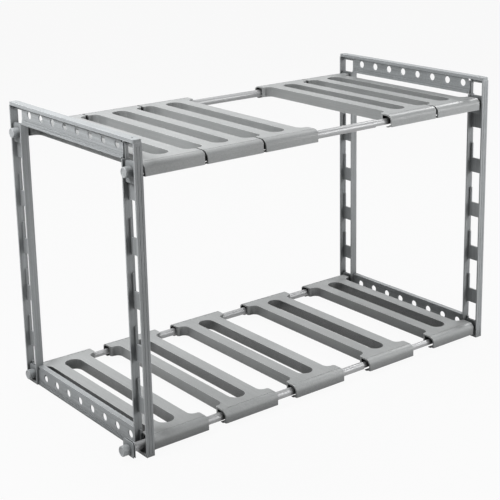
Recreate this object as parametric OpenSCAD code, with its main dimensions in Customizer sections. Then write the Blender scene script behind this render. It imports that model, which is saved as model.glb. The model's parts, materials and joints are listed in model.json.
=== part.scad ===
// Extending two-tier under sink organizer.
// Two ladder-shaped end frames carry slotted shelf panels on telescoping tubes.
// X runs along the length, Y from front to back, Z up. The floor is Z = 0.
// Both end frames are the same moulding facing the same way, so the right one isn't mirrored.

/* [Overall] */
// Length over the legs
body_l = 603.3; // [580:0.1:640]
// Depth over the legs
body_d = 310.7; // [290:0.1:340]
// Height to the top of the end frames
body_h = 400; // [398:1:410]

/* [Legs] */
// Width of a leg along X
leg_w = 11.3; // [11:0.1:13]
// Depth of a leg along Y
leg_d = 28.8; // [28:0.1:32]
// Thickness of the two flanges of a leg
flange_t = 2.2; // [1.8:0.1:2.4]
// Distance from a leg's left face to its web
web_x = 6.7; // [6.5:0.1:7.5]
// Thickness of a leg's web
web_t = 2.4; // [2:0.1:3]
// Thickness of the foot plate
foot_t = 3.9; // [3:0.1:4]
// Distance from the top rung's top to the top rail's lower edge
rung_drop = 27.7; // [27.3:0.1:29]
// Distance from rung to rung
rung_pitch = 68.1; // [67:0.1:68.5]
// Height of a rung
rung_h = 21.4; // [18:0.1:24]
// Width of the strip of web left at the back of each window
strip_w = 3.2; // [2.5:0.1:4]
// Height of that strip
strip_h = 22.5; // [15:0.5:26]
// Radius of the upper corners of a window
window_r = 3; // [1:0.5:4]
// Width of the two grooves down a leg's flange
groove_w = 1; // [0.6:0.1:1.4]
// Their depth
groove_t = 0.4; // [0.2:0.1:0.6]

/* [Rails] */
// Height of a rail
rail_h = 27.5; // [26:0.1:28]
// Distance from a leg's left face to the rail's web
rail_x = 3.3; // [2.5:0.1:3.5]
// Thickness of a rail's web
rail_t = 1.6; // [1.4:0.1:2.4]
// Thickness of the top strip
strip_t = 4.5; // [3:0.1:5]
// Overhang of the top strip past a leg's sides
strip_over = 0.4; // [0.2:0.1:1]
// Corner radius of the top strip
strip_r = 3; // [1:0.5:5]
// Radius of the small hole near each end of the top strip
strip_hole_r = 1.4; // [1:0.1:2]
// Distance of that hole from the strip's end
strip_hole_in = 12; // [8:0.5:20]
// Width of the bottom rail's top flange
rail_flange_w = 7.6; // [6:0.1:7.8]
// Thickness of that flange
rail_flange_t = 1.9; // [1.5:0.1:2.5]
// Distance from the rail's rear end to the catch under that flange
catch_in = 10; // [5:0.5:20]
// Width of the catch
catch_w = 4; // [2:0.5:6]
// Height of the catch
catch_h = 3; // [2:0.5:4]
// Height of one of the two steps along a rail's lower edge
ledge_h = 3; // [2:0.1:4]
// How far each step stands out
ledge_t = 0.8; // [0.4:0.1:1]
// Radius of the rail holes
hole_r = 5.2; // [3.5:0.1:5.5]
// Distance from hole to hole
hole_pitch = 31.3; // [28:0.1:32]
// Distance from the rail's front end to the middle of the front hole
hole_in = 13.7; // [10:0.1:15]
// Height of the holes above the rail's lower edge
hole_z = 15.1; // [13:0.1:17]
// Side of the notch in each upper corner of a rail's web
notch = 3.6; // [2:0.1:5]

/* [Tubes] */
// Height of the lower tubes
tube_low_z = 12.3; // [12:0.1:14]
// Height of the upper tubes above the top rung
tube_seat = 15; // [14:0.1:16]
// Outer radius of a thick tube
thick_r = 5.5; // [5:0.1:6]
// Radial clearance between a thick and a thin tube
tube_gap = 0.1; // [0.05:0.01:0.15]
// Wall of a tube
tube_wall = 1.1; // [0.7:0.1:1.3]
// Length of a tube half
tube_l = 393.1; // [340:0.1:405]

/* [Panels] */
// Width of a panel
panel_w = 87; // [84:0.1:88]
// Height of a panel's top above the tube's axis
panel_top = 10; // [9.5:0.1:11]
// Half the depth of a panel's end cap
cap_half = 11.7; // [11:0.1:11.8]
// Radius of the rounded front edge of a cap
cap_r = 9; // [7:0.1:9]
// Depth of the skirt below the tube's axis
skirt_low = 6.5; // [6.4:0.1:7]
// Thickness of a panel's top plate and of its caps
cap_t = 2.2; // [2:0.1:2.4]
// Length of the lip under the tube
lip_l = 4; // [2:0.1:4.2]
// Half the width over the two ribs
rib_half = 30.5; // [28:0.1:33]
// Depth of the rib walls below the panel's top
rib_h = 15; // [14:0.1:15.5]
// Thickness of the rib walls
rib_t = 2; // [1.6:0.1:2.4]
// Half the width of the slot
slot_half = 12.5; // [10:0.1:13]
// Half the length of the slot
slot_len = 128; // [122:0.1:128.5]
// Inside radius where a rib runs out to an ear
ear_fillet = 9; // [6:0.1:9]
// Outside corner radius of an ear
ear_r = 3.5; // [2.5:0.1:4]
// Corner radius at the outer edge of a cap
cap_corner = 2; // [1:0.1:3]
// Clearance round a tube in a panel's cradles
cradle_gap = 0.3; // [0.3:0.05:0.5]
// Distance from a panel's side to the middle of its outer cradles
cradle_in = 9; // [6:0.5:15]
// Thickness of a cradle
cradle_t = 2; // [1.5:0.1:3]
// Depth of the fine groove along the start of the rounded edge
bead = 0.3; // [0.2:0.05:0.5]

/* [Clips and knobs] */
// Distance from a leg's left face to a clip's outer plate
clip_x = 2.9; // [2:0.1:3.4]
// Clearance of a clip beside its web and over its rung
clip_gap = 0.3; // [0.3:0.05:0.5]
// Thickness of one of a clip's two plates
plate_t = 1.1; // [0.8:0.05:1.2]
// Height of the plates above the tube's axis
plate_top = 12.3; // [11:0.1:12.5]
// Radius of the plates' upper corners
plate_r = 5; // [3:0.5:8]
// Depth of the groove between the plates
plate_groove = 1.6; // [1:0.1:1.8]
// Radius of a knob
knob_r = 6.75; // [6.5:0.05:7.5]
// Length of a knob beyond its clip
knob_l = 9.8; // [8:0.1:12]
// Width of the bevel round a knob's face
knob_edge = 0.8; // [0.4:0.1:1.2]
// Depth of the dish in a knob's face
knob_dish = 0.5; // [0.3:0.1:1]
// How far a tube reaches into its knob
tube_in = 5; // [3:0.1:6]
// Clearance of a tube in its clip and knob
socket_gap = 0.05; // [0.02:0.01:0.08]

/* [Resting position] */
// How far the lower front left tube stands out of its seat
pulled_out = 20.7; // [0:0.1:22]
// Gap from the left leg's web to the first lower panel
low_start = 0.35; // [0.3:0.05:0.5]
// Share of the lower tier's free length that lies left of the second panel
low_share_2 = 0.1781; // [0.1:0.0001:0.25]
// Share of it that lies left of the third panel
low_share_3 = 0.3902; // [0.3:0.0001:0.5]
// Share of it that lies left of the fourth panel
low_share_4 = 0.7191; // [0.6:0.0001:0.9]
// Gap from the left leg to the first upper panel
up_start = 3.95; // [3:0.05:6]
// Gap between neighbouring upper panels
up_gap = 3; // [1:0.1:4]
// Gap from the last panels to the right legs
right_gap = 2.1; // [1:0.1:4]

/* [Hidden] */
$fn = 96;
eps = 0.01;
thin_r = thick_r - tube_wall - tube_gap;
axis_y = body_d / 2 - leg_d / 2;
leg_h = body_h - strip_t;
channel = leg_d - 2 * flange_t;
top_rail_z = body_h - rail_h;
rung_top_z = top_rail_z - rung_drop;
tube_up_z = rung_top_z + tube_seat;
// As many rungs as leave a window over the foot, and as many holes as the rail has room for.
rung_n = 1 + floor((rung_top_z - rung_h - foot_t - strip_h - 2 * window_r) / rung_pitch);
rung_z = rung_top_z - (rung_n - 1) * rung_pitch;
rail_len = body_d - 2 * leg_d;
hole_n = 1 + floor((rail_len - hole_in - hole_r - notch) / hole_pitch);
// The knobs stand out further on the left, and the origin is the middle of the whole length.
over_left = knob_l + pulled_out - clip_x;
over_right = web_x - clip_gap + knob_l - leg_w;
x_left = -body_l / 2 + (over_left - over_right) / 2;
x_right = x_left + body_l - leg_w;
clip_l = web_x - clip_gap - clip_x;
clip_half = channel / 2 - 2 * clip_gap;
low_x1 = x_left + web_x + web_t + low_start + panel_w / 2;
last_x = x_right - right_gap - panel_w / 2;
low_free = last_x - low_x1 - 4 * panel_w;
low_x2 = low_x1 + panel_w + low_share_2 * low_free;
low_x3 = low_x1 + 2 * panel_w + low_share_3 * low_free;
low_x4 = low_x1 + 3 * panel_w + low_share_4 * low_free;
up_x1 = x_left + leg_w + up_start + panel_w / 2;
up_x2 = up_x1 + panel_w + up_gap;
up_x3 = up_x2 + panel_w + up_gap;
up_x4 = last_x - panel_w - up_gap;
frame_colour = [0.62, 0.64, 0.66];
panel_colour = [0.66, 0.67, 0.68];
tube_colour = [0.74, 0.74, 0.76];
clip_colour = [0.58, 0.6, 0.61];

// Sub-part to draw

// Turns a flat shape drawn in Y and Z into a solid that runs along X.
module along_x(len) {
    rotate([90, 0, 90]) linear_extrude(len) children();
}

// A window of the leg's ladder in Y and Z, its lower edge at 0.
module window_2d(h) {
    translate([-channel / 2, -eps]) square([channel - strip_w, strip_h + 2 * eps]);
    translate([-channel / 2, strip_h]) square([channel, h - strip_h - window_r]);
    translate([-channel / 2 + window_r, strip_h]) square([channel - 2 * window_r, h - strip_h]);
    for (s = [-1, 1])
        translate([s * (channel / 2 - window_r), h - window_r]) circle(window_r);
}

// One leg. Side -1 is the front, 1 the back.
module leg(x0, side) {
    inner_y = side > 0 ? -leg_d / 2 : leg_d / 2 - flange_t;
    outer_y = side > 0 ? leg_d / 2 - flange_t : -leg_d / 2;
    face_y = side * leg_d / 2;
    color(frame_colour) translate([x0, side * axis_y, 0]) difference() {
        union() {
            translate([0, outer_y, 0]) cube([leg_w, flange_t, leg_h]);
            translate([0, inner_y, 0]) cube([leg_w, flange_t, top_rail_z]);
            translate([rail_x + rail_t, inner_y, top_rail_z - 1])
                cube([web_x + web_t - rail_x - rail_t, flange_t, leg_h - top_rail_z + 1]);
            translate([web_x, -channel / 2 - eps, 0]) cube([web_t, channel + 2 * eps, leg_h]);
            translate([0, -leg_d / 2, 0]) cube([leg_w, leg_d, foot_t]);
        }
        translate([web_x - eps, 0, foot_t]) along_x(web_t + 2 * eps) window_2d(rung_z - rung_h - foot_t);
        for (k = [0 : rung_n - 2])
            translate([web_x - eps, 0, rung_z + k * rung_pitch])
                along_x(web_t + 2 * eps) window_2d(rung_pitch - rung_h);
        translate([web_x - eps, 0, rung_top_z])
            along_x(web_t + 2 * eps) window_2d(rung_pitch - rung_h - 1);
        for (x = [0.32, 0.68])
            translate([x * leg_w - groove_w / 2, face_y - groove_t, foot_t])
                cube([groove_w, 2 * groove_t, leg_h - 2 * foot_t]);
    }
}

// The row of holes and corner notches of a rail, its lower edge at z0.
module rail_cuts(x0, z0, top) {
    for (k = [0 : hole_n - 1])
        translate([x0, hole_in - rail_len / 2 + k * hole_pitch, z0 + hole_z])
            rotate([0, 90, 0]) cylinder(r = hole_r, h = leg_w);
    for (s = [-1, 1])
        translate([x0 + rail_x - eps, s * (rail_len / 2 - notch / 2) - notch / 2 - (s < 0 ? eps : -eps), top - notch])
            cube([rail_t + 2 * eps, notch, notch]);
}

// The web of a rail with its two steps, whose front end is rounded.
module rail_web(x0, z0, h) {
    translate([x0 + rail_x, -rail_len / 2, z0]) cube([rail_t, rail_len, h]);
    for (k = [1, 2])
        translate([x0 + rail_x - k * ledge_t, -rail_len / 2, z0]) difference() {
            cube([k * ledge_t + eps, rail_len, (3 - k) * ledge_h]);
            translate([-eps, -eps, -eps]) cube([k * ledge_t + eps, ledge_h, ledge_h / 2]);
        }
}

module top_rail(x0) {
    strip_w_all = leg_w + 2 * strip_over;
    color(frame_colour) {
        difference() {
            rail_web(x0, top_rail_z, rail_h - strip_t);
            rail_cuts(x0, top_rail_z, leg_h);
        }
        translate([x0 - strip_over, 0, leg_h]) linear_extrude(strip_t) difference() {
            union() {
                translate([strip_r, -body_d / 2]) square([strip_w_all - 2 * strip_r, body_d]);
                translate([0, -body_d / 2 + strip_r]) square([strip_w_all, body_d - 2 * strip_r]);
                for (x = [strip_r, strip_w_all - strip_r], s = [-1, 1])
                    translate([x, s * (body_d / 2 - strip_r)]) circle(strip_r);
            }
            for (s = [-1, 1])
                translate([strip_w_all / 2, s * (body_d / 2 - strip_hole_in)]) circle(strip_hole_r);
        }
    }
}

module bottom_rail(x0) {
    color(frame_colour) {
        difference() {
            rail_web(x0, 0, rail_h);
            rail_cuts(x0, 0, rail_h - rail_flange_t);
        }
        translate([x0 + rail_x, -rail_len / 2, rail_h - rail_flange_t])
            cube([rail_flange_w, rail_len, rail_flange_t]);
        translate([x0 + rail_x + rail_t - eps, rail_len / 2 - catch_in - catch_w, rail_h - rail_flange_t - catch_h])
            cube([rail_flange_w - rail_t - 1, catch_w, catch_h + eps]);
    }
}

// A round tube along X.
module tube(x0, y, z, r, len) {
    color(tube_colour) translate([x0, y, z]) rotate([0, 90, 0]) difference() {
        cylinder(r = r, h = len);
        translate([0, 0, -eps]) cylinder(r = r - tube_wall, h = len + 2 * eps);
    }
}

// A tube half held at its left end, and one held at its right end.
module left_tube(y, z, r, out) {
    tube(x_left + clip_x - tube_in - out, y, z, r, tube_l);
}

module right_tube(y, z, r) {
    tube(x_right + clip_x + clip_l + tube_in - tube_l, y, z, r, tube_l);
}

// The outline of a clip's plate about the tube's axis, drawn a distance t inside the real edge.
module plate_2d(t, foot) {
    translate([t - clip_half, t - foot]) square([2 * (clip_half - t), foot + plate_top - plate_r - t]);
    translate([plate_r - clip_half, t - foot]) square([2 * (clip_half - plate_r), foot + plate_top - 2 * t]);
    for (s = [-1, 1])
        translate([s * (clip_half - plate_r), plate_top - plate_r]) circle(plate_r - t);
}

// The clip on a tube's end: two thin plates with a groove between them, standing in the leg's channel.
module clip(x0, y, z, foot, r) {
    color(clip_colour) translate([x0 + clip_x, y, z]) difference() {
        union() {
            along_x(plate_t) plate_2d(0, foot);
            translate([plate_t - eps, 0, 0]) along_x(clip_l - 2 * plate_t + 2 * eps) plate_2d(plate_groove, foot);
            translate([clip_l - plate_t, 0, 0]) along_x(plate_t) plate_2d(0, foot);
        }
        translate([-1, 0, 0]) rotate([0, 90, 0]) cylinder(r = r + socket_gap, h = clip_l + 2);
    }
}

// A knob that caps a tube's end. Its face is beveled and has a shallow dish.
module knob_body(r) {
    rotate_extrude() difference() {
        polygon([[0, 0], [knob_r, 0], [knob_r, knob_l - knob_edge], [knob_r - knob_edge, knob_l], [0, knob_l]]);
        translate([-1, -1]) square([1 + r + socket_gap, 1 + tube_in]);
        translate([-1, knob_l - knob_dish]) square([knob_r - 1.2, 1]);
    }
}

module left_knob(y, z, r, out) {
    color(clip_colour) translate([x_left + clip_x - out, y, z]) rotate([0, -90, 0]) knob_body(r);
}

module right_knob(y, z, r) {
    color(clip_colour) translate([x_right + clip_x + clip_l, y, z]) rotate([0, 90, 0]) knob_body(r);
}

// A panel's outline, drawn a distance t inside the real edge. Its ears run out to the caps.
module panel_2d(t) {
    ear_in = axis_y - cap_half;
    translate([-rib_half + t, -axis_y]) square([2 * (rib_half - t), 2 * axis_y]);
    for (m = [0, 1]) mirror([0, m]) {
        translate([-panel_w / 2 + ear_r, ear_in + t]) square([panel_w - 2 * ear_r, cap_half + 1 - t]);
        translate([-panel_w / 2 + t, ear_in + ear_r]) square([panel_w - 2 * t, cap_half + 1 - ear_r]);
        for (s = [-1, 1]) {
            translate([s * (panel_w / 2 - ear_r), ear_in + ear_r]) circle(ear_r - t);
            difference() {
                translate([s > 0 ? rib_half - t - 1 : -rib_half - ear_fillet, ear_in - ear_fillet])
                    square(ear_fillet + t + 1);
                translate([s * (rib_half + ear_fillet), ear_in - ear_fillet]) circle(ear_fillet + t);
            }
        }
    }
}

// The long slot, drawn a distance t outside its real edge.
module slot_2d(t) {
    square([2 * (slot_half + t), 2 * (slot_len - slot_half)], center = true);
    for (s = [-1, 1])
        translate([0, s * (slot_len - slot_half)]) circle(slot_half + t);
}

// The end cap's section in Y and Z about the tube's axis, its rounded face towards -Y.
module cap_2d() {
    difference() {
        union() {
            translate([cap_r - cap_half, -skirt_low]) square([cap_half - cap_r, skirt_low + panel_top]);
            translate([-cap_half, -skirt_low]) square([2 * cap_r, skirt_low + panel_top - cap_r]);
            translate([cap_r - cap_half, panel_top - cap_r]) circle(cap_r);
        }
        translate([cap_r - cap_half, -skirt_low + cap_t]) square([cap_half, skirt_low + panel_top - 2 * cap_t]);
        translate([cap_t - cap_half, -skirt_low + cap_t]) square([2 * cap_r, skirt_low + panel_top - cap_t - cap_r]);
        translate([cap_r - cap_half, panel_top - cap_r]) circle(cap_r - cap_t);
        translate([lip_l + cap_t - cap_half, -skirt_low - 1]) square([4 * cap_half, skirt_low + 2]);
    }
}

// A cap's inside cut down to the cradle's outline, in Y and Z.
module cradle_2d() {
    difference() {
        union() {
            translate([cap_r - cap_half, panel_top - rib_h]) square([2 * cap_half - cap_r - 0.5, rib_h - 1]);
            translate([cap_t / 2 - cap_half, panel_top - rib_h]) square([cap_r, rib_h - cap_r]);
            translate([cap_r - cap_half, panel_top - cap_r]) circle(cap_r - cap_t / 2);
        }
        circle(thick_r + cradle_gap);
        translate([-thick_r - cradle_gap, -2 * cap_half])
            square([2 * (thick_r + cradle_gap), 2 * cap_half]);
        translate([-2 * cap_half, -2 * cap_half + panel_top - rib_h]) square([4 * cap_half, 2 * cap_half]);
    }
}

// The front end cap of a panel, open at both ends.
module cap() {
    translate([0, -axis_y, 0]) difference() {
        union() {
            translate([-panel_w / 2, 0, 0]) along_x(panel_w) cap_2d();
            for (x = [cradle_in - panel_w / 2, 0, panel_w / 2 - cradle_in])
                translate([x - cradle_t / 2, 0, 0]) along_x(cradle_t) cradle_2d();
        }
        for (s = [-1, 1])
            translate([s * (panel_w / 2 - cap_corner), cap_corner - cap_half, -skirt_low - 1])
                difference() {
                    translate([s > 0 ? 0 : -cap_corner - 1, -cap_corner - 1, 0])
                        cube([cap_corner + 1, cap_corner + 1, skirt_low + panel_top + 2]);
                    translate([0, 0, -1]) cylinder(r = cap_corner, h = skirt_low + panel_top + 4);
                }
        translate([-panel_w / 2 - 1, cap_r - cap_half - 0.5, panel_top - bead]) cube([panel_w + 2, 1, 1]);
    }
}

// A whole panel about the tubes' axis height.
module panel(x, z) {
    color(panel_colour) translate([x, 0, z]) {
        translate([0, 0, panel_top - cap_t]) linear_extrude(cap_t) difference() {
            panel_2d(0);
            slot_2d(0);
        }
        translate([0, 0, panel_top - rib_h]) linear_extrude(rib_h) {
            difference() {
                panel_2d(0);
                panel_2d(rib_t);
                for (m = [0, 1]) mirror([0, m])
                    translate([-panel_w, axis_y - cap_half + ear_r + 1.5]) square([2 * panel_w, body_d]);
            }
            difference() {
                slot_2d(rib_t);
                slot_2d(0);
            }
        }
        cap();
        mirror([0, 1, 0]) cap();
    }
}

module leg_fl() { leg(x_left, -1); }
module leg_rl() { leg(x_left, 1); }
module leg_fr() { leg(x_right, -1); }
module leg_rr() { leg(x_right, 1); }
module top_rail_l() { top_rail(x_left); }
module top_rail_r() { top_rail(x_right); }
module bottom_rail_l() { bottom_rail(x_left); }
module bottom_rail_r() { bottom_rail(x_right); }
module tube_lf_thick() { left_tube(-axis_y, tube_low_z, thick_r, pulled_out); }
module tube_lf_thin() { right_tube(-axis_y, tube_low_z, thin_r); }
module tube_lr_thick() { right_tube(axis_y, tube_low_z, thick_r); }
module tube_lr_thin() { left_tube(axis_y, tube_low_z, thin_r, 0); }
module tube_uf_thick() { left_tube(-axis_y, tube_up_z, thick_r, 0); }
module tube_uf_thin() { right_tube(-axis_y, tube_up_z, thin_r); }
module tube_ur_thick() { right_tube(axis_y, tube_up_z, thick_r); }
module tube_ur_thin() { left_tube(axis_y, tube_up_z, thin_r, 0); }
module clip_lf_l() { low_clip(x_left - pulled_out, -1, thick_r); }
module clip_lr_l() { low_clip(x_left, 1, thin_r); }
module clip_uf_l() { up_clip(x_left, -1, thick_r); }
module clip_ur_l() { up_clip(x_left, 1, thin_r); }
module clip_lf_r() { low_clip(x_right, -1, thin_r); }
module clip_lr_r() { low_clip(x_right, 1, thick_r); }
module clip_uf_r() { up_clip(x_right, -1, thin_r); }
module clip_ur_r() { up_clip(x_right, 1, thick_r); }
module knob_lf_l() { left_knob(-axis_y, tube_low_z, thick_r, pulled_out); }
module knob_lr_l() { left_knob(axis_y, tube_low_z, thin_r, 0); }
module knob_uf_l() { left_knob(-axis_y, tube_up_z, thick_r, 0); }
module knob_ur_l() { left_knob(axis_y, tube_up_z, thin_r, 0); }
module knob_lf_r() { right_knob(-axis_y, tube_low_z, thin_r); }
module knob_lr_r() { right_knob(axis_y, tube_low_z, thick_r); }
module knob_uf_r() { right_knob(-axis_y, tube_up_z, thin_r); }
module knob_ur_r() { right_knob(axis_y, tube_up_z, thick_r); }
module lower_panel_1() { panel(low_x1, tube_low_z); }
module lower_panel_2() { panel(low_x2, tube_low_z); }
module lower_panel_3() { panel(low_x3, tube_low_z); }
module lower_panel_4() { panel(low_x4, tube_low_z); }
module lower_panel_5() { panel(last_x, tube_low_z); }
module upper_panel_1() { panel(up_x1, tube_up_z); }
module upper_panel_2() { panel(up_x2, tube_up_z); }
module upper_panel_3() { panel(up_x3, tube_up_z); }
module upper_panel_4() { panel(up_x4, tube_up_z); }
module upper_panel_5() { panel(last_x, tube_up_z); }

// Clips of the two tiers: the lower ones stand on the foot plate, the upper ones on the top rung.
module low_clip(x0, side, r) {
    clip(x0, side * axis_y, tube_low_z, tube_low_z - foot_t - clip_gap, r);
}

module up_clip(x0, side, r) {
    clip(x0, side * axis_y, tube_up_z, tube_seat - clip_gap, r);
}

leg_fl();
leg_rl();
leg_fr();
leg_rr();
top_rail_l();
top_rail_r();
bottom_rail_l();
bottom_rail_r();
tube_lf_thick();
tube_lf_thin();
tube_lr_thick();
tube_lr_thin();
tube_uf_thick();
tube_uf_thin();
tube_ur_thick();
tube_ur_thin();
clip_lf_l();
clip_lr_l();
clip_uf_l();
clip_ur_l();
clip_lf_r();
clip_lr_r();
clip_uf_r();
clip_ur_r();
knob_lf_l();
knob_lr_l();
knob_uf_l();
knob_ur_l();
knob_lf_r();
knob_lr_r();
knob_uf_r();
knob_ur_r();
lower_panel_1();
lower_panel_2();
lower_panel_3();
lower_panel_4();
lower_panel_5();
upper_panel_1();
upper_panel_2();
upper_panel_3();
upper_panel_4();
upper_panel_5();
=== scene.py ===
import bpy
import bmesh
import json
import math
from mathutils import Matrix, Vector

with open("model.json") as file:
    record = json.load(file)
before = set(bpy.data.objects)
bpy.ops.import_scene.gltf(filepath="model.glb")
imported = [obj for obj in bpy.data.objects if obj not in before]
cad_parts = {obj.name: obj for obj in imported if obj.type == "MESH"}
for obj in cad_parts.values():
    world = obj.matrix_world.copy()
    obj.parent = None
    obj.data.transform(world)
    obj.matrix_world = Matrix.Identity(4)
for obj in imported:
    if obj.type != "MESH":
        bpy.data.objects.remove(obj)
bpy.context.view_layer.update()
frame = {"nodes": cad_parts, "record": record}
nodes = frame["nodes"]
print("loaded", len(nodes), "CAD nodes")


# node helpers: most add to a node tree and give back the socket that carries the result

def newMaterial(name, look):
    material = bpy.data.materials.new(name)
    material.use_nodes = True
    shader = material.node_tree.nodes["Principled BSDF"]
    shader.inputs["Base Color"].default_value = (*look["color"], 1)
    shader.inputs["Roughness"].default_value = look["rough"]
    shader.inputs["Metallic"].default_value = look.get("metallic", 0.0)
    shader.inputs["Specular IOR Level"].default_value = look.get("specular", 0.5)
    return material, material.node_tree, shader


def objectCoords(tree, scale=(1, 1, 1)):
    coord = tree.nodes.new("ShaderNodeTexCoord")
    mapping = tree.nodes.new("ShaderNodeMapping")
    mapping.inputs["Scale"].default_value = scale
    tree.links.new(coord.outputs["Object"], mapping.inputs["Vector"])
    return mapping.outputs["Vector"]


def noise(tree, vector, scale, detail, rough):
    texture = tree.nodes.new("ShaderNodeTexNoise")
    texture.inputs["Scale"].default_value = scale
    texture.inputs["Detail"].default_value = detail
    texture.inputs["Roughness"].default_value = rough
    tree.links.new(vector, texture.inputs["Vector"])
    return texture.outputs["Fac"]


def span(tree, value, fromMin, fromMax, toMin, toMax):
    mapRange = tree.nodes.new("ShaderNodeMapRange")
    mapRange.inputs["From Min"].default_value = fromMin
    mapRange.inputs["From Max"].default_value = fromMax
    mapRange.inputs["To Min"].default_value = toMin
    mapRange.inputs["To Max"].default_value = toMax
    tree.links.new(value, mapRange.inputs["Value"])
    return mapRange.outputs["Result"]


def calc(tree, operation, first, second):
    mathNode = tree.nodes.new("ShaderNodeMath")
    mathNode.operation = operation
    for socket, value in zip(mathNode.inputs, (first, second)):
        if isinstance(value, (int, float)):
            socket.default_value = value
        else:
            tree.links.new(value, socket)
    return mathNode.outputs[0]


noiseSpan = (0.3, 0.7)  # the noise values that give the lowest and the highest result


def varied(tree, source, low, high):
    return span(tree, source, *noiseSpan, low, high)


def tinted(tree, color, factor):
    # the colour times a factor that varies over the surface
    scaleNode = tree.nodes.new("ShaderNodeVectorMath")
    scaleNode.operation = "SCALE"
    scaleNode.inputs[0].default_value = color
    tree.links.new(factor, scaleNode.inputs["Scale"])
    return scaleNode.outputs["Vector"]


def bumped(tree, shader, height, strength, distance):
    bump = tree.nodes.new("ShaderNodeBump")
    bump.inputs["Strength"].default_value = strength
    bump.inputs["Distance"].default_value = distance
    tree.links.new(height, bump.inputs["Height"])
    tree.links.new(bump.outputs["Normal"], shader.inputs["Normal"])


# flat and sharp are cosines between the softened and the true normal
edgeHighlightSettings = {"samples": 4, "flat": 0.99, "sharp": 0.80}


def edgeMask(tree, radius):
    # 1 on a sharp corner, 0 on a flat: sharp corners are lightened as a painted highlight
    soft = tree.nodes.new("ShaderNodeBevel")
    soft.samples = edgeHighlightSettings["samples"]
    soft.inputs["Radius"].default_value = radius
    surface = tree.nodes.new("ShaderNodeNewGeometry")
    cosine = tree.nodes.new("ShaderNodeVectorMath")
    cosine.operation = "DOT_PRODUCT"
    tree.links.new(soft.outputs["Normal"], cosine.inputs[0])
    tree.links.new(surface.outputs["True Normal"], cosine.inputs[1])
    return span(tree, cosine.outputs["Value"], edgeHighlightSettings["flat"], edgeHighlightSettings["sharp"], 0.0, 1.0)


# deep and open are the shares of rays from a point that meet nothing within reach
crevice = {"samples": 8, "deep": 0.35, "open": 0.92}


def creviceShade(tree, reach, darkest):
    # painted shade: 1 in the open, down to darkest in slots, grooves and inside corners, where shade
    # falls
    shelter = tree.nodes.new("ShaderNodeAmbientOcclusion")
    shelter.samples = crevice["samples"]
    shelter.inputs["Distance"].default_value = reach
    return span(tree, shelter.outputs["AO"], crevice["deep"], crevice["open"], darkest, 1.0)


# moulded plastics: the frames' legs, the rails, the shelf panels, the tube-end clips and the knobs

plasticNoise = {
    "cloud": {"scale": 9.0, "detail": 4.0, "rough": 0.6},  # slow change of shade across a moulding
    "fleck": {"scale": 900.0, "detail": 2.0, "rough": 0.5},  # fine speckle of the pigment
    "streak": {"scale": 4.0, "detail": 3.0, "rough": 0.6},  # flow lines, stretched by streakAlong
    "scuff": {"scale": 60.0, "detail": 3.0, "rough": 0.65},  # handled patches shine more
    "grain": {"scale": 2400.0, "detail": 1.0, "rough": 0.5},  # grain left by the mould
}
glossSwing = (-0.06, 0.08)  # how far roughness strays below and above its value
plasticBump = {"distance": 0.0004, "streakHeight": 1.5}

# edgeWidth and reach are in metres; streak, cloud, fleck and edge are shares of the colour, edge being
# a painted highlight on corners
mouldedPlastic = {
    "frame": {"color": (0.395, 0.412, 0.420), "rough": 0.46, "specular": 0.42,
              "streakAlong": (140, 140, 2.0), "streak": 0.18, "cloud": 0.08, "fleck": 0.10,
              "edge": 0.80, "edgeWidth": 0.0008, "grain": 0.14, "reach": 0.025, "darkest": 0.42},
    # painted light: the rails' plastic is the legs' plastic made lighter to stand in for brighter light
    # on the rails
    "rail": {"color": (0.43, 0.45, 0.46), "rough": 0.50, "specular": 0.28,
             "streakAlong": (160, 2.0, 160), "streak": 0.16, "cloud": 0.07, "fleck": 0.16,
             "edge": 0.75, "edgeWidth": 0.0008, "grain": 0.16, "reach": 0.014, "darkest": 0.25},
    "panel": {"color": (0.405, 0.417, 0.417), "rough": 0.40, "specular": 0.46,
              "streakAlong": (110, 3.0, 110), "streak": 0.05, "cloud": 0.07, "fleck": 0.10,
              "edge": 0.90, "edgeWidth": 0.0011, "grain": 0.12, "reach": 0.034, "darkest": 0.14},
    "clip": {"color": (0.36, 0.38, 0.39), "rough": 0.42, "specular": 0.42,
             "streakAlong": (60, 60, 60), "streak": 0.06, "cloud": 0.06, "fleck": 0.08,
             "edge": 0.80, "edgeWidth": 0.0006, "grain": 0.08, "reach": 0.014, "darkest": 0.25},
    "knob": {"color": (0.47, 0.49, 0.50), "rough": 0.38, "specular": 0.45,
             "streakAlong": (20, 120, 120), "streak": 0.10, "cloud": 0.05, "fleck": 0.07,
             "edge": 0.70, "edgeWidth": 0.0007, "grain": 0.08, "reach": 0.008, "darkest": 0.60},
}


def plasticMaterial(name, look):
    material, tree, shader = newMaterial(name, look)
    plain = objectCoords(tree)
    stretched = objectCoords(tree, look["streakAlong"])
    pattern = {key: noise(tree, stretched if key == "streak" else plain, **kind)
               for key, kind in plasticNoise.items()}
    shade = varied(tree, pattern["cloud"], 1 - look["cloud"], 1 + look["cloud"])
    for key in ("fleck", "streak"):
        shade = calc(tree, "MULTIPLY", shade, varied(tree, pattern[key], 1 - look[key], 1 + look[key]))
    # painted highlight: sharp corners are made lighter, as if they caught the light
    paintedHighlight = calc(tree, "MULTIPLY", edgeMask(tree, look["edgeWidth"]), look["edge"])
    shade = calc(tree, "ADD", shade, paintedHighlight)
    # painted shade: the colour darkens in slots, grooves and inside corners
    shade = calc(tree, "MULTIPLY", shade, creviceShade(tree, look["reach"], look["darkest"]))
    tree.links.new(tinted(tree, look["color"], shade), shader.inputs["Base Color"])
    gloss = varied(tree, pattern["scuff"], look["rough"] + glossSwing[0], look["rough"] + glossSwing[1])
    tree.links.new(gloss, shader.inputs["Roughness"])
    streakHeight = calc(tree, "MULTIPLY", pattern["streak"], plasticBump["streakHeight"])
    height = calc(tree, "ADD", pattern["grain"], streakHeight)
    bumped(tree, shader, height, look["grain"], plasticBump["distance"])
    return material


# coated steel of the telescoping tubes, with drawn lines along it

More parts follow.
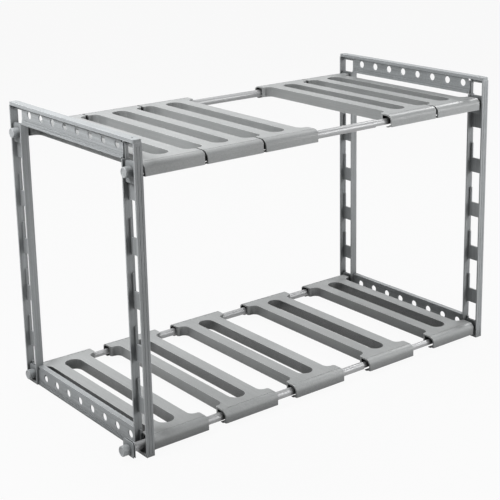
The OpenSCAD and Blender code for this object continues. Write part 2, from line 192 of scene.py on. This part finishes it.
steelTube = {
    "color": (0.43, 0.435, 0.44), "rough": 0.36, "metallic": 0.25,
    "lines": 0.14, "linesAlong": (1, 60, 60), "lineNoise": {"scale": 14.0, "detail": 3.0, "rough": 0.6},
    "bump": 0.05, "bumpDistance": 0.0002,
    "reach": 0.012, "darkest": 0.35,
}


def tubeMaterial(look):
    material, tree, shader = newMaterial("silverTube", look)
    lines = noise(tree, objectCoords(tree, look["linesAlong"]), **look["lineNoise"])
    shade = varied(tree, lines, 1 - look["lines"], 1 + look["lines"])
    # painted shade: the colour darkens where the tube runs close to other parts
    shade = calc(tree, "MULTIPLY", shade, creviceShade(tree, look["reach"], look["darkest"]))
    tree.links.new(tinted(tree, look["color"], shade), shader.inputs["Base Color"])
    gloss = varied(tree, lines, look["rough"] + glossSwing[0], look["rough"] + glossSwing[1])
    tree.links.new(gloss, shader.inputs["Roughness"])
    bumped(tree, shader, lines, look["bump"], look["bumpDistance"])
    return material


materials = {name: plasticMaterial(name + "Plastic", look) for name, look in mouldedPlastic.items()}
materials["tube"] = tubeMaterial(steelTube)
print("materials ready:", ", ".join(sorted(materials)))


# CAD nodes: finish, and edges rounded as a mould rounds them

edgeSettings = {
    "frame": {"width": 0.00045, "segments": 3},
    "rail": {"width": 0.00045, "segments": 3},
    "panel": {"width": 0.0006, "segments": 3},
    "clip": {"width": 0.0003, "segments": 2},
    "knob": {"width": 0.0004, "segments": 3},
    "tube": {"width": 0.0002, "segments": 2},
}
# the angles are in degrees; faces within flatAngle of each other join before the rounding
meshSettings = {"weld": 0.00001, "flatAngle": 0.6, "sharpAngle": 35}

slotOf = {row["node"]: row["material_slot"] for row in frame["record"]["subparts"]}


def finishOf(node):
    # the rails share the legs' slot, but their flow lines run along the rail, and their colour is set
    # lighter than the legs' as painted light
    if "rail" in node:
        return "rail"
    return slotOf[node].split("_")[0]


def roundEdges(obj, width, segments):
    for polygon in obj.data.polygons:
        polygon.use_smooth = True
    weld = obj.modifiers.new("weld", "WELD")
    weld.merge_threshold = meshSettings["weld"]
    flat = obj.modifiers.new("flat", "DECIMATE")
    flat.decimate_type = "DISSOLVE"
    flat.angle_limit = math.radians(meshSettings["flatAngle"])
    bevel = obj.modifiers.new("bevel", "BEVEL")
    bevel.width = width
    bevel.segments = segments
    bevel.limit_method = "ANGLE"
    bevel.angle_limit = math.radians(meshSettings["sharpAngle"])
    bevel.use_clamp_overlap = True
    bevel.harden_normals = True
    normals = obj.modifiers.new("normals", "WEIGHTED_NORMAL")
    normals.keep_sharp = True


for name, obj in nodes.items():
    finish = finishOf(name)
    obj.data.materials.clear()
    obj.data.materials.append(materials[finish])
    roundEdges(obj, **edgeSettings[finish])
print("finished the CAD nodes")


# floor, light and camera

studio = {
    "floorColor": (0.42, 0.42, 0.42),
    "floorRough": 0.9,
    "floorHalf": 12,  # metres from the middle of the floor to its sides
    "floorWhite": 0.94,  # how much of the plain white backdrop the floor shows to the camera
    "worldColor": (0.95, 0.97, 1.0),
    "worldStrength": 0.02,
}

lamps = {
    "rearSoftbox": {"place": (0.1, 1.1, 2.0), "aim": (0.0, 0.0, 0.2), "size": 1.0, "power": 21.5},
    "leftSoftbox": {"place": (-0.80, 0.0, 0.88), "aim": (-0.29, 0.0, 0.36), "size": 0.4, "power": 6.2},
    "frontFill": {"place": (0.25, -0.95, 0.25), "aim": (0.1, 0.0, 0.15), "size": 0.5, "power": 2.0},
    "rightFill": {"place": (0.80, -0.85, 0.62), "aim": (0.2, -0.1, 0.3), "size": 0.4, "power": 4.2},
    "rightSoftbox": {"place": (1.6, 0.3, 1.5), "aim": (0.0, 0.0, 0.2), "size": 0.35, "power": 12},
}


def aimed(place, aim):
    return (Vector(aim) - Vector(place)).to_track_quat("-Z", "Y")


def seenWhite(tree):
    # 1 for the camera and for what gloss and glass show, 0 for light that falls on the object
    path = tree.nodes.new("ShaderNodeLightPath")
    seen = calc(tree, "MAXIMUM", path.outputs["Is Camera Ray"], path.outputs["Is Glossy Ray"])
    return calc(tree, "MAXIMUM", seen, path.outputs["Is Transmission Ray"])


def plainWhite(tree, kind):
    white = tree.nodes.new(kind)
    white.inputs["Color"].default_value = (1, 1, 1, 1)
    white.inputs["Strength"].default_value = 1.0
    return white.outputs[0]


def mixed(tree, factor, first, second, output):
    mix = tree.nodes.new("ShaderNodeMixShader")
    tree.links.new(factor, mix.inputs["Fac"])
    tree.links.new(first, mix.inputs[1])
    tree.links.new(second, mix.inputs[2])
    tree.links.new(mix.outputs["Shader"], tree.nodes[output].inputs["Surface"])


def buildFloor():
    mesh = bpy.data.meshes.new("floor")
    grid = bmesh.new()
    bmesh.ops.create_grid(grid, x_segments=1, y_segments=1, size=studio["floorHalf"])
    grid.to_mesh(mesh)
    grid.free()
    floor = bpy.data.objects.new("floor", mesh)
    bpy.context.scene.collection.objects.link(floor)
    look = {"color": studio["floorColor"], "rough": studio["floorRough"], "specular": 0.0}
    material, tree, shader = newMaterial("paleFloor", look)
    share = calc(tree, "MULTIPLY", seenWhite(tree), studio["floorWhite"])
    white = plainWhite(tree, "ShaderNodeEmission")
    mixed(tree, share, shader.outputs["BSDF"], white, "Material Output")
    mesh.materials.append(material)


def buildWorld():
    world = bpy.data.worlds.new("studioWorld")
    world.use_nodes = True
    tree = world.node_tree
    sky = tree.nodes["Background"]
    sky.inputs["Color"].default_value = (*studio["worldColor"], 1)
    sky.inputs["Strength"].default_value = studio["worldStrength"]
    white = plainWhite(tree, "ShaderNodeBackground")
    mixed(tree, seenWhite(tree), sky.outputs["Background"], white, "World Output")
    bpy.context.scene.world = world


def buildLamps():
    for name, lamp in lamps.items():
        light = bpy.data.lights.new(name, "AREA")
        light.size = lamp["size"]
        light.energy = lamp["power"]
        obj = bpy.data.objects.new(name, light)
        obj.location = lamp["place"]
        obj.rotation_mode = "QUATERNION"
        obj.rotation_quaternion = aimed(lamp["place"], lamp["aim"])
        bpy.context.scene.collection.objects.link(obj)


# the photograph's view: place in metres, angles in degrees; focal length, frame and centre in pixels
photoCamera = {
    "place": (-1.00799, -1.3184, 0.71031),
    "yaw": 38.717,
    "pitch": 14.154,
    "roll": 0.774,
    "focalPixels": 1215.03,
    "framePixels": 500,
    "centre": (280.0, 165.0),
    "sensorWidth": 36,  # millimetres
}


def buildCamera():
    yaw, pitch, roll = (math.radians(photoCamera[key]) for key in ("yaw", "pitch", "roll"))
    ahead = Vector((math.sin(yaw) * math.cos(pitch), math.cos(yaw) * math.cos(pitch), -math.sin(pitch)))
    level = Vector((math.cos(yaw), -math.sin(yaw), 0))
    down = ahead.cross(level)
    right = math.cos(roll) * level + math.sin(roll) * down
    up = math.sin(roll) * level - math.cos(roll) * down
    size = photoCamera["framePixels"]
    lens = bpy.data.cameras.new("photoCamera")
    lens.sensor_width = photoCamera["sensorWidth"]
    lens.lens = photoCamera["focalPixels"] / size * photoCamera["sensorWidth"]
    lens.shift_x = (size / 2 - photoCamera["centre"][0]) / size
    lens.shift_y = (photoCamera["centre"][1] - size / 2) / size
    camera = bpy.data.objects.new("photoCamera", lens)
    turn = Matrix((right, up, -ahead)).transposed().to_4x4()
    camera.matrix_world = Matrix.Translation(photoCamera["place"]) @ turn
    bpy.context.scene.collection.objects.link(camera)
    bpy.context.scene.camera = camera


buildFloor()
buildWorld()
buildLamps()
buildCamera()
bpy.context.scene.view_settings.view_transform = "Standard"
print("studio and camera ready")
